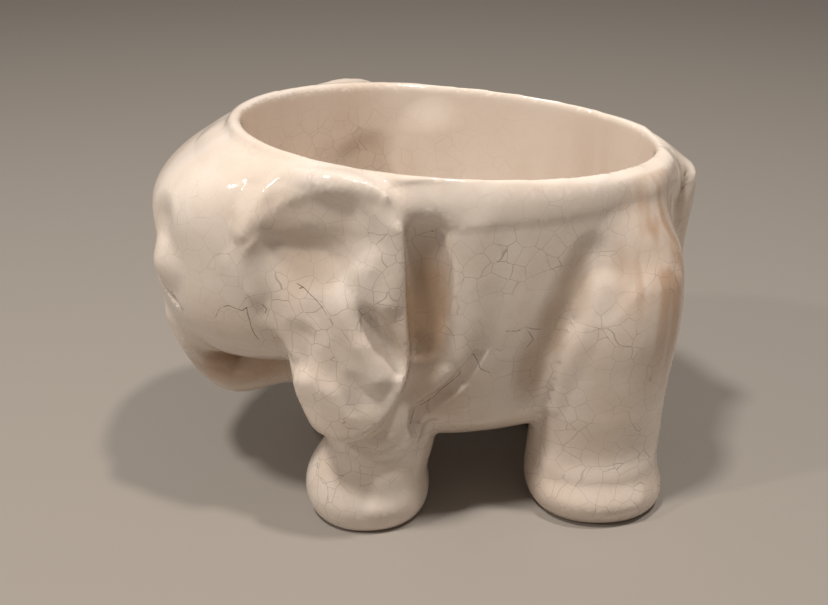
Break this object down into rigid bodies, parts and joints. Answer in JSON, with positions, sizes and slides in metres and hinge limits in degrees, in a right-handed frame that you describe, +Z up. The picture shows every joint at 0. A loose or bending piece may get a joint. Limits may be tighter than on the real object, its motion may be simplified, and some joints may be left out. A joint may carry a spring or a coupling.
{
  "type": "elephant planter",
  "caption": "Elephant-shaped glazed ceramic planter with an open egg-shaped bowl, relief ears, a curled trunk, four flared feet and a tail.",
  "frame": {"origin": "bottom centre of the whole planter, on the surface that its four feet stand on", "axes": "-X where the elephant faces, -Y its left side, +Z up towards the open rim"},
  "size_m": [0.1928, 0.1204, 0.1428],
  "materials": {
    "glaze": "ivory crackle glaze, glossy"
  },
  "bodies": {
    "root": {"pot_body": "glaze", "head": "glaze", "trunk": "glaze", "left_ear": "glaze", "right_ear": "glaze", "front_left_leg": "glaze", "front_right_leg": "glaze", "hind_left_leg": "glaze", "hind_right_leg": "glaze", "tail": "glaze"}
  },
  "joints": []
}
